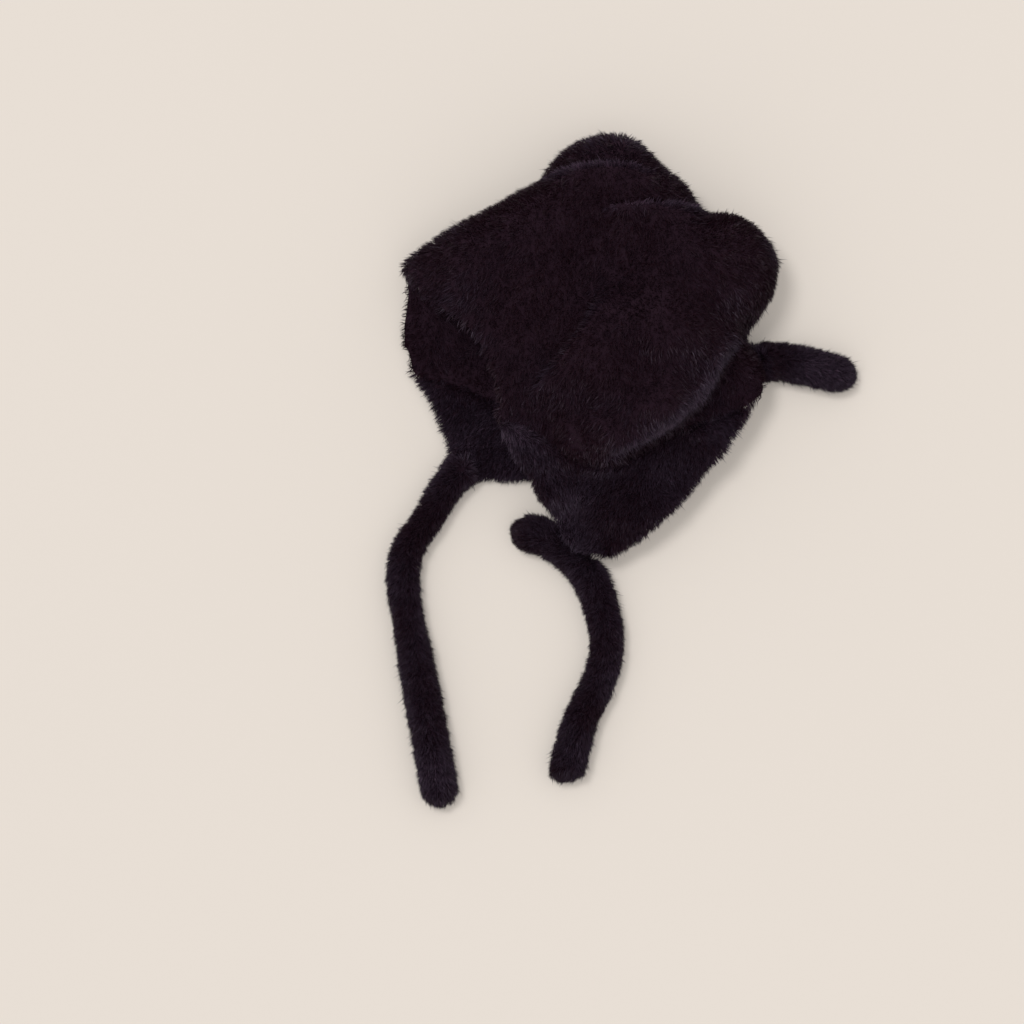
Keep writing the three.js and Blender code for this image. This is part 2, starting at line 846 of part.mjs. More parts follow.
const bonnet = new THREE.Group();
bonnet.add(
  pieceFrom("crown", crown, COLOURS.fur),
  pieceFrom("near_ear_flap", nearFlap, COLOURS.flap),
  pieceFrom("far_ear_flap", farFlap, COLOURS.flap),
  pieceFrom("near_tie", nearTie, COLOURS.tie),
  pieceFrom("far_tie", farTie, COLOURS.tie),
  pieceFrom("tail", tail, COLOURS.tie),
);

// The origin is the middle of the underside of all the pieces.
const room = new THREE.Box3().setFromObject(bonnet);
const middle = room.getCenter(new THREE.Vector3());
bonnet.position.set(-middle.x, -middle.y, -room.min.z);

export default bonnet;
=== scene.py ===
"""Dresses the plush bonnet: soft bodies for its six pieces, a deep near-black pile, and the studio."""

import heapq
import logging
from dataclasses import dataclass
from enum import Enum
from math import radians

import bmesh
import bpy
import numpy as np
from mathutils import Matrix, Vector, kdtree, noise
from mathutils.bvhtree import BVHTree


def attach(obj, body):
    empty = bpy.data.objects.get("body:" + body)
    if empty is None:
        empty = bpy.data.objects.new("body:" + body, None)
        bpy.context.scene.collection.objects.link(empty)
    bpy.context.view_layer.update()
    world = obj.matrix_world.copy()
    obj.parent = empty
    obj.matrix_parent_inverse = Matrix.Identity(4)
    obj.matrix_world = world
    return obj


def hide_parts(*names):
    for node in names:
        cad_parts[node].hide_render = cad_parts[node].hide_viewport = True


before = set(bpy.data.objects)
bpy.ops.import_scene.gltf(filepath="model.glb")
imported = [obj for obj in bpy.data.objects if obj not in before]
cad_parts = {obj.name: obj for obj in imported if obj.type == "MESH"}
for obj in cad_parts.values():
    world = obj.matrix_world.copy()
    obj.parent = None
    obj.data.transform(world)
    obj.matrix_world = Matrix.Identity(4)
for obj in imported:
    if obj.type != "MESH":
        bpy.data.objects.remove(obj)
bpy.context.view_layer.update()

log = logging.getLogger("plush_bonnet")

STRAND_MAP = "OFBake"  # the pile's map: across is a strand's shade, up is the way along it
MILLIMETRE = 0.001
TINY = 1e-9  # keeps a length of nothing out of a division
SHADE_ENDS = (0.02, 0.98)  # the deepest and the palest shade that a strand gets

# A strand is a blade of five points: two at its root, two at its bend and the tip.
POINTS_OF_BLADE = 5
TRIANGLES_OF_BLADE = 3
CORNERS_OF_TRIANGLE = 3
CORNERS_OF_BLADE = (0, 1, 3, 0, 3, 2, 2, 3, 4)
MAP_ACROSS = (-0.01, 0.01, 0.01, -0.01, 0.01, -0.01, -0.01, 0.01, 0.0)
MAP_UP = (0.01, 0.01, 0.5, 0.01, 0.5, 0.5, 0.5, 0.5, 0.99)


class Face(Enum):
    """Which side of a plush wall a strand grows on."""

    OUTER = "outer"
    INNER = "inner"


class NapWay(Enum):
    """How the nap lies to the place that it is brushed from or towards."""

    AWAY = 1.0
    TOWARDS = -1.0


def place(across: float, up: float, height: float = 0.0) -> Vector:
    """Turns a spot of the photograph's plan, in millimetres from the frame's middle, into metres.

    Args:
        across: Millimetres to the right of the model's origin.
        up: Millimetres up the photograph from the origin.
        height: Millimetres above the surface.

    Returns:
        The point in the model's frame, in metres.
    """
    return Vector((across, up, height)) * MILLIMETRE


def select_only(piece: bpy.types.Object) -> None:
    """Deselects everything and makes one piece selected and active.

    Args:
        piece: The piece to work on next.
    """
    bpy.ops.object.select_all(action="DESELECT")
    piece.select_set(True)
    bpy.context.view_layer.objects.active = piece


def apply_modifier(piece: bpy.types.Object, name: str) -> None:
    """Applies one modifier of a piece."""
    select_only(piece)
    bpy.ops.object.modifier_apply(modifier=name)


def read_rows(items: bpy.types.bpy_prop_collection, key: str, wide: int, kind: type) -> np.ndarray:
    """Reads one value of every item of a mesh.

    Args:
        items: The mesh's vertices, edges or the like.
        key: The name of the value.
        wide: How many numbers the value has.
        kind: The kind of number.

    Returns:
        One row of numbers for each item.
    """
    found = np.empty(len(items) * wide, kind)
    items.foreach_get(key, found)
    return found.reshape(-1, wide)


def corners_of(mesh: bpy.types.Mesh) -> np.ndarray:
    """Returns a mesh's vertex places as rows of x, y, z."""
    return read_rows(mesh.vertices, "co", 3, np.float32).astype(np.float64)


def put_corners(mesh: bpy.types.Mesh, corners: np.ndarray) -> None:
    """Writes vertex places back into a mesh."""
    mesh.vertices.foreach_set("co", corners.astype(np.float32).ravel())
    mesh.update()


def normals_of(mesh: bpy.types.Mesh) -> np.ndarray:
    """Returns a mesh's vertex normals as rows of x, y, z."""
    return read_rows(mesh.vertex_normals, "vector", 3, np.float32).astype(np.float64)


def edges_of(mesh: bpy.types.Mesh) -> np.ndarray:
    """Returns a mesh's edges as rows of two vertex numbers."""
    return read_rows(mesh.edges, "vertices", 2, np.int32)


def triangles_of(mesh: bpy.types.Mesh) -> np.ndarray:
    """Returns a mesh's triangles as rows of three vertex numbers."""
    mesh.calc_loop_triangles()
    return read_rows(mesh.loop_triangles, "vertices", 3, np.int32)


def unit_rows(rows: np.ndarray) -> np.ndarray:
    """Returns the rows scaled to length one."""
    return rows / np.maximum(np.linalg.norm(rows, axis=1, keepdims=True), TINY)


def across_rows(rows: np.ndarray, normals: np.ndarray) -> np.ndarray:
    """Returns the rows with what lies along the normals taken out."""
    return rows - (rows * normals).sum(1, keepdims=True) * normals


def mixed_rows(rows: np.ndarray, share: np.ndarray) -> np.ndarray:
    """Mixes three rows of x, y, z into one for each triangle.

    Args:
        rows: For each triangle its three rows.
        share: For each triangle the share of each of the three.

    Returns:
        One row for each triangle.
    """
    return np.einsum("ij,ijk->ik", share, rows)


def tree_of_solid(node: str) -> BVHTree:
    """Makes a search tree of one of the frame's solids, hidden or not.

    Args:
        node: The solid's name.

    Returns:
        The tree of its faces.
    """
    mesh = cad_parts[node].data
    corners = [vertex.co for vertex in mesh.vertices]
    return BVHTree.FromPolygons(corners, [tuple(face.vertices) for face in mesh.polygons])


def new_material(name: str) -> tuple[bpy.types.Material, bpy.types.Node]:
    """Makes a plain node material.

    Args:
        name: Its name.

    Returns:
        The material and its Principled shader.
    """
    made = bpy.data.materials.new(name)
    made.use_nodes = True
    return made, made.node_tree.nodes["Principled BSDF"]


def set_inputs(node: bpy.types.Node, values: dict[str, float | tuple[float, ...]]) -> None:
    """Gives a node's inputs their values, by name."""
    for name, value in values.items():
        node.inputs[name].default_value = value


def noise_on_object(tree: bpy.types.NodeTree, scale: float) -> bpy.types.Node:
    """Adds a noise on Object coordinates to a material.

    Args:
        tree: The material's nodes.
        scale: How fine the noise is.

    Returns:
        The noise's node.
    """
    where = tree.nodes.new("ShaderNodeTexCoord")
    made = tree.nodes.new("ShaderNodeTexNoise")
    made.inputs["Scale"].default_value = scale
    tree.links.new(where.outputs["Object"], made.inputs["Vector"])
    return made


def add_ramp(
    tree: bpy.types.NodeTree,
    source: bpy.types.NodeSocket,
    stops: tuple[tuple[float, tuple[float, float, float]], ...],
) -> bpy.types.NodeSocket:
    """Adds a colour ramp to a material.

    Args:
        tree: The material's nodes.
        source: The output that the ramp reads.
        stops: Two or more places from 0 to 1, in rising order, each with its colour.

    Returns:
        The ramp's colour output.
    """
    made = tree.nodes.new("ShaderNodeValToRGB")
    marks = made.color_ramp.elements
    for mark, (at, colour) in zip((marks[0], marks[1]), (stops[0], stops[-1])):
        mark.position = at
        mark.color = (*colour, 1.0)
    for at, colour in stops[1:-1]:
        marks.new(at).color = (*colour, 1.0)
    tree.links.new(source, made.inputs["Fac"])
    return made.outputs["Color"]


def add_range(
    tree: bpy.types.NodeTree, source: bpy.types.NodeSocket, ends: tuple[float, float]
) -> bpy.types.NodeSocket:
    """Adds a node that maps 0 to 1 onto a range.

    Args:
        tree: The material's nodes.
        source: The output that is mapped.
        ends: What 0 and 1 become.

    Returns:
        The mapped output.
    """
    made = tree.nodes.new("ShaderNodeMapRange")
    set_inputs(made, {"To Min": ends[0], "To Max": ends[1]})
    tree.links.new(source, made.inputs["Value"])
    return made.outputs["Result"]


@dataclass(frozen=True)
class BackingFinish:
    """The short dense under-pile that the long strands stand in."""

    name: str = "plush_backing"
    dark: tuple[float, float, float] = (0.0074, 0.0035, 0.0056)
    light: tuple[float, float, float] = (0.0130, 0.0068, 0.0106)
    cast: tuple[float, float, float] = (1.0, 0.5, 0.8)
    gloss: float = 0.2
    sheen: float = 0.06
    sheen_roughness: float = 0.6
    grain: float = 900.0
    grain_detail: float = 4.0
    drift: float = 38.0
    dark_until: float = 0.12
    light_from: float = 0.42
    roughness: tuple[float, float] = (0.72, 0.95)
    bump_depth: float = 0.0012
    bump_strength: float = 0.8

    def material(self) -> bpy.types.Material:
        """Builds the node material, with its grain on Object coordinates.

        Returns:
            The backing's material.
        """
        made, shader = new_material(self.name)
        tree = made.node_tree
        set_inputs(
            shader,
            {
                "Specular IOR Level": self.gloss,
                "Specular Tint": (*self.cast, 1.0),
                "Sheen Weight": self.sheen,
                "Sheen Tint": (*self.cast, 1.0),
                "Sheen Roughness": self.sheen_roughness,
            },
        )
        grain = noise_on_object(tree, self.grain)
        grain.inputs["Detail"].default_value = self.grain_detail
        drift = noise_on_object(tree, self.drift)
        both = tree.nodes.new("ShaderNodeMath")
        both.operation = "MULTIPLY"
        tree.links.new(grain.outputs["Fac"], both.inputs[0])
        tree.links.new(drift.outputs["Fac"], both.inputs[1])
        tones = ((self.dark_until, self.dark), (self.light_from, self.light))
        tree.links.new(add_ramp(tree, both.outputs["Value"], tones), shader.inputs["Base Color"])
        rough = add_range(tree, grain.outputs["Fac"], self.roughness)
        tree.links.new(rough, shader.inputs["Roughness"])
        bump = tree.nodes.new("ShaderNodeBump")
        set_inputs(bump, {"Distance": self.bump_depth, "Strength": self.bump_strength})
        tree.links.new(grain.outputs["Fac"], bump.inputs["Height"])
        tree.links.new(bump.outputs["Normal"], shader.inputs["Normal"])
        return made


@dataclass(frozen=True)
class PileFinish:
    """The long strands: dark roots, greyer tips, and a shade for each strand from plum to pale glint. The
    slate and glint stops are what the painted light and painted highlights added to a strand's shade
    reach.
    """

    name: str = "plush_pile"
    root: tuple[float, float, float] = (0.074, 0.037, 0.054)
    middle: tuple[float, float, float] = (0.080, 0.043, 0.060)
    tip: tuple[float, float, float] = (0.090, 0.058, 0.077)
    deep: tuple[float, float, float] = (0.166, 0.102, 0.120)
    plain: tuple[float, float, float] = (0.204, 0.130, 0.151)
    slate: tuple[float, float, float] = (0.34, 0.38, 0.46)
    glint: tuple[float, float, float] = (1.20, 1.30, 1.45)
    middle_at: float = 0.5
    plain_at: float = 0.45
    slate_at: float = 0.72
    gloss: float = 0.22
    gloss_tint: tuple[float, float, float] = (0.86, 0.74, 0.92)
    roughness: tuple[float, float] = (0.28, 0.48)

    def material(self) -> bpy.types.Material:
        """Builds the node material, which reads the strand map alone.

        Returns:
            The pile's material.
        """
        made, shader = new_material(self.name)
        tree = made.node_tree
        set_inputs(shader, {"Specular IOR Level": self.gloss, "Specular Tint": (*self.gloss_tint, 1.0)})
        where = tree.nodes.new("ShaderNodeUVMap")
        where.uv_map = STRAND_MAP
        apart = tree.nodes.new("ShaderNodeSeparateXYZ")
        tree.links.new(where.outputs["UV"], apart.inputs["Vector"])
        tones = ((0.0, self.root), (self.middle_at, self.middle), (1.0, self.tip))
        along = add_ramp(tree, apart.outputs["Y"], tones)
        casts = (
            (0.0, self.deep),
            (self.plain_at, self.plain),
            (self.slate_at, self.slate),
            (1.0, self.glint),
        )
        cast = add_ramp(tree, apart.outputs["X"], casts)
        tinted = tree.nodes.new("ShaderNodeMix")
        tinted.data_type = "RGBA"
        tinted.blend_type = "MULTIPLY"
        tinted.inputs["Factor"].default_value = 1.0
        tree.links.new(along, tinted.inputs["A"])
        tree.links.new(cast, tinted.inputs["B"])
        tree.links.new(tinted.outputs["Result"], shader.inputs["Base Color"])
        rough = add_range(tree, apart.outputs["Y"], self.roughness)
        tree.links.new(rough, shader.inputs["Roughness"])
        return made


@dataclass(frozen=True)
class Crease:
    """A fold over the crown: a soft lip left of its route and a groove on the right of it.

    The centres and spreads of the lip and the groove are shares of their reaches. The strands on its
    crest splay towards the groove and are painted paler, a painted highlight along the fold, by up to
    `painted_light`.
    """

    route: tuple[tuple[float, float], ...]
    lip: float = 2.4 * MILLIMETRE
    groove: float = 4.5 * MILLIMETRE
    lip_reach: float = 7.0 * MILLIMETRE
    lip_centre: float = 0.5
    lip_spread: float = 0.6
    groove_reach: float = 8.0 * MILLIMETRE
    groove_centre: float = 0.55
    groove_spread: float = 0.55
    overhang: float = 2.5 * MILLIMETRE
    crest_line: float = 1.0 * MILLIMETRE
    crest_edge: float = 0.8 * MILLIMETRE
    crest_reach: float = 2.0 * MILLIMETRE
    splay: float = 0.25
    painted_light: float = 0.50
    fade: float = 0.16
    lowest: float = 18.0 * MILLIMETRE
    upright: float = 3.0
    points_a_step: int = 8

    def measure(self, places: np.ndarray) -> tuple[np.ndarray, np.ndarray]:
        """Measures places against the route, seen from above.

        Args:
            places: Rows of x, y, z.

        Returns:
            The distance of each to the route, more than 0 on its left, and the fold's strength there.
        """
        line = self._drawn()
        start, step = line[:-1], np.diff(line, axis=0)
        length = np.linalg.norm(step, axis=1)
        gone = np.concatenate([[0.0], np.cumsum(length)])
        best = np.full(len(places), np.inf)
        signed, share = np.zeros(len(places)), np.zeros(len(places))
        for number in range(len(start)):
            way = step[number] / length[number]
            off = places[:, :2] - start[number]
            along = np.clip(off @ way, 0.0, length[number])
            apart = np.linalg.norm(off - along[:, None] * way, axis=1)
            nearer = apart < best
            best[nearer] = apart[nearer]
            left = way[0] * off[:, 1] - way[1] * off[:, 0]
            signed[nearer] = np.where(left >= 0, apart, -apart)[nearer]
            share[nearer] = (gone[number] + along[nearer]) / gone[-1]
        ends = np.clip(np.minimum(share, 1.0 - share) / self.fade, 0.0, 1.0)
        return signed, ends * (places[:, 2] > self.lowest)

    def shape(self, corners: np.ndarray, normals: np.ndarray) -> np.ndarray:
        """Moves the vertices near the route.

        Args:
            corners: The body's vertex places.
            normals: Its vertex normals.

        Returns:
            The moved places.
        """
        signed, strength = self.measure(corners)
        strength = strength * np.clip(normals[:, 2] * self.upright, 0.0, 1.0)
        up_side = (signed - self.lip_reach * self.lip_centre) / (self.lip_reach * self.lip_spread)
        down_side = signed + self.groove_reach * self.groove_centre
        down_side = down_side / (self.groove_reach * self.groove_spread)
        lip = np.exp(-(up_side**2))
        groove = np.exp(-(down_side**2))
        moved = corners.copy()
        moved[:, 2] += strength * (self.lip * lip - self.groove * groove)
        moved += (strength * lip * self.overhang)[:, None] * self.to_groove()
        return moved

    def crest(self, roots: np.ndarray) -> np.ndarray:
        """Measures how far strands stand on the fold's splayed crest, where the painted highlight goes.

        Args:
            roots: The strands' roots.

        Returns:
            A share from 0 to 1 for each.
        """
        signed, strength = self.measure(roots)
        past = signed - self.crest_line
        before = np.exp(-((np.minimum(past, 0.0) / self.crest_edge) ** 2))
        behind = np.exp(-np.maximum(past, 0.0) / self.crest_reach)
        return strength * before * behind

    def _drawn(self) -> np.ndarray:
        """Draws the route as a fine line.

        Returns:
            Closely spaced plan points, in metres.
        """
        points = np.array(self.route) * MILLIMETRE
        at = np.linspace(0.0, 1.0, len(points))
        fine = np.linspace(0.0, 1.0, len(points) * self.points_a_step)
        return np.stack([np.interp(fine, at, points[:, axis]) for axis in (0, 1)], 1)

    def to_groove(self) -> np.ndarray:
        """Finds the level direction from the lip to the groove, for the route as a whole.

        Returns:
            A direction of length one.
        """
        line = self._drawn()
        way = line[-1] - line[0]
        right = np.array([way[1], -way[0], 0.0])
        return right / np.linalg.norm(right)


@dataclass(frozen=True)
class Nudge:
    """A gentle push or puff of a body's mesh round one spot, in millimetres, as a hand shapes plush."""

    spot: tuple[float, float]
    push: tuple[float, float]
    reach: float
    puff: float = 0.0

    def shape(self, corners: np.ndarray, normals: np.ndarray) -> np.ndarray:
        """Moves the vertices near the spot.

        Args:
            corners: The body's vertex places.
            normals: Its vertex normals.

        Returns:
            The moved places.
        """
        apart = np.linalg.norm(corners[:, :2] - np.array(self.spot) * MILLIMETRE, axis=1)
        share = np.exp(-((apart / (self.reach * MILLIMETRE)) ** 2))[:, None]
        push = np.array([*self.push, 0.0]) * MILLIMETRE
        return corners + share * (push + normals * self.puff * MILLIMETRE)


@dataclass(frozen=True)
class RuffleAndPaintedLight:
    """A patch where the pile was stroked another way and leans further, with its strands painted paler:
    painted light on lit patches and painted fill where shade falls.

    The spot and the reach are in plan millimetres, and the sweep is the way it was stroked.
    """

    spot: tuple[float, float]
    reach: float
    painted_light: float = 0.0
    sweep: tuple[float, float] = (0.0, 0.0)

    def share(self, roots: np.ndarray) -> np.ndarray:
        """Returns how much of the patch each root has, from 0 to 1."""
        apart = np.linalg.norm(roots[:, :2] - np.array(self.spot) * MILLIMETRE, axis=1)
        return np.exp(-((apart / (self.reach * MILLIMETRE)) ** 2))


@dataclass
class SoftBody:
    """The stuffed or slumped form of one piece, made from the room that its solid holds.

    A vertex nearer to a neighbour's solid than `touching`, a share of the voxel, counts as joined to
    it. It isn't smoothed, pulled in or swollen.
    """

    node: str
    name: str
    meets: tuple[str, ...]
    creases: tuple[Crease, ...]
    nudges: tuple[Nudge, ...]
    voxel: float
    inset: float
    swell: float
    join_reach: float = 9.0 * MILLIMETRE
    touching: float = 0.5
    calm: int = 4
    calm_share: float = 0.5
    same_point: float = 0.01 * MILLIMETRE
    pressure: float = 4.0
    cloth_mass: float = 0.2
    cloth_steps: int = 4
    frames: int = 20
    floor_gap: float = 1.2 * MILLIMETRE

    def build(self) -> bpy.types.Object:
        """Copies the solid, remeshes, creases and nudges it, pulls it in and lets it swell.

        Returns:
            The body, before its subdivision.
        """
        body = self._copy_of_solid()
        self._remesh(body)
        for change in (*self.creases, *self.nudges):
            put_corners(body.data, change.shape(corners_of(body.data), normals_of(body.data)))
        self._pull_in(body)
        self._swell(body)
        self._keep_off_floor(body)
        return body

    def _copy_of_solid(self) -> bpy.types.Object:
        """Copies the solid's mesh into a new object and merges its loose triangles.

        Returns:
            The new body.
        """
        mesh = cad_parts[self.node].data.copy()
        mesh.name = self.name
        mesh.materials.clear()
        body = bpy.data.objects.new(self.name, mesh)
        bpy.context.scene.collection.objects.link(body)
        work = bmesh.new()
        work.from_mesh(mesh)
        bmesh.ops.remove_doubles(work, verts=work.verts, dist=self.same_point)
        work.to_mesh(mesh)
        work.free()
        return body

    def _remesh(self, body: bpy.types.Object) -> None:
        """Gives the body an even mesh and lays down the solid's carved locks.

        Args:
            body: The body, changed in place.
        """
        even = body.modifiers.new("even", "REMESH")
        even.mode = "VOXEL"
        even.voxel_size = self.voxel
        apply_modifier(body, even.name)
        free = body.vertex_groups.new(name="free")
        held = body.vertex_groups.new(name="held")
        for number, share in enumerate(self._clearance(body)):
            free.add([number], float(share), "REPLACE")
            held.add([number], float(1.0 - share), "REPLACE")
        settle = body.modifiers.new("settle", "SMOOTH")
        settle.factor = self.calm_share
        settle.iterations = self.calm
        settle.vertex_group = free.name
        apply_modifier(body, settle.name)

    def _clearance(self, body: bpy.types.Object) -> np.ndarray:
        """Measures how clear of the neighbours' solids each vertex is.

        Args:
            body: The body.

        Returns:
            0 for each vertex that touches a neighbour's solid, rising to 1 away from it.
        """
        shares = np.ones(len(body.data.vertices))
        for neighbour in self.meets:
            tree = tree_of_solid(neighbour)
            for number, vertex in enumerate(body.data.vertices):
                apart = tree.find_nearest(vertex.co)[3]
                share = min(1.0, max(0.0, (apart - self.voxel * self.touching) / self.join_reach))
                shares[number] = min(shares[number], share)
        return shares

    def _pull_in(self, body: bpy.types.Object) -> None:
        """Moves the body in from the pile's outer face, so that the strands have their room.

        Args:
            body: The body, changed in place.
        """
        mesh = body.data
        room = self._clearance(body)[:, None] * self.inset
        put_corners(mesh, corners_of(mesh) - normals_of(mesh) * room)

    def _swell(self, body: bpy.types.Object) -> None:
        """Runs a short cloth simulation under pressure and caps how far each point moves.

        Args:
            body: The body, changed in place.
        """
        start = corners_of(body.data)
        puff = body.modifiers.new("puff", "CLOTH")
        puff.settings.quality = self.cloth_steps
        puff.settings.mass = self.cloth_mass
        puff.settings.use_pressure = True
        puff.settings.uniform_pressure_force = self.pressure
        puff.settings.effector_weights.gravity = 0.0
        puff.settings.vertex_group_mass = "held"
        puff.point_cache.frame_start = 1
        puff.point_cache.frame_end = self.frames
        for number in range(1, self.frames + 1):
            bpy.context.scene.frame_set(number)
        apply_modifier(body, puff.name)
        bpy.context.scene.frame_set(1)
        moved = corners_of(body.data) - start
        length = np.linalg.norm(moved, axis=1, keepdims=True)
        held = moved * np.minimum(1.0, self.swell / np.maximum(length, TINY))
        put_corners(body.data, start + held)

    def _keep_off_floor(self, body: bpy.types.Object) -> None:
        """Keeps the body above the surface by the thickness of its flattened pile.

        Args:
            body: The body, changed in place.
        """
        corners = corners_of(body.data)
        corners[:, 2] = np.maximum(corners[:, 2], self.floor_gap)
        put_corners(body.data, corners)

    @staticmethod
    def finish(body: bpy.types.Object) -> None:
        """Subdivides the body once and shades it smooth.

        Args:
            body: The body, changed in place.
        """
        round_off = body.modifiers.new("round_off", "SUBSURF")
        round_off.levels = 1
        round_off.render_levels = 1
        apply_modifier(body, round_off.name)
        select_only(body)
        bpy.ops.object.shade_smooth()


@dataclass
class Nap:
    """The way a piece's pile is brushed: away from or towards one place on it."""

    place: Vector
    way: NapWay
    even_rounds: int = 6

    def field(self, mesh: bpy.types.Mesh) -> np.ndarray:
        """Works out the brushed direction at each vertex from distances over the surface.

        Args:
            mesh: The body's mesh.

        Returns:
            A row of x, y, z for each vertex, in the surface's own plane.
        """
        corners, edges = corners_of(mesh), edges_of(mesh)
        length = np.linalg.norm(corners[edges[:, 0]] - corners[edges[:, 1]], axis=1)
        away = self._away(corners, edges, length)
        step = corners[edges[:, 1]] - corners[edges[:, 0]]
        rise = (away[edges[:, 1]] - away[edges[:, 0]]) / np.maximum(length, TINY)
        pull = step * (rise / np.maximum(length, TINY))[:, None]
        field_rows = np.zeros_like(corners)
        np.add.at(field_rows, edges[:, 0], pull)
        np.add.at(field_rows, edges[:, 1], pull)
        for _ in range(self.even_rounds):
            spread = np.zeros_like(field_rows)
            np.add.at(spread, edges[:, 0], field_rows[edges[:, 1]])
            np.add.at(spread, edges[:, 1], field_rows[edges[:, 0]])
            field_rows = unit_rows(field_rows) + unit_rows(spread)
        flat = across_rows(field_rows, normals_of(mesh))
        return unit_rows(flat) * self.way.value

    def _away(self, corners: np.ndarray, edges: np.ndarray, length: np.ndarray) -> np.ndarray:
        """Measures how far each vertex is from the brushed place, along the edges.

        Args:
            corners: The body's vertex places.
            edges: Its edges, as rows of two vertex numbers.
            length: The length of each edge.

        Returns:
            One distance for each vertex. One that no edge leads to gets the largest of the others.
        """
        near = [[] for _ in range(len(corners))]
        for (here, there), size in zip(edges.tolist(), length.tolist()):
            near[here].append((there, size))
            near[there].append((here, size))
        first = int(np.argmin(np.linalg.norm(corners - np.array(self.place), axis=1)))
        away = np.full(len(corners), np.inf)
        away[first] = 0.0
        queue = [(0.0, first)]
        while queue:
            so_far, at = heapq.heappop(queue)
            if so_far > away[at]:
                continue
            for other, size in near[at]:
                if so_far + size < away[other]:
                    away[other] = so_far + size
                    heapq.heappush(queue, (so_far + size, other))
        away[~np.isfinite(away)] = away[np.isfinite(away)].max()
        return away


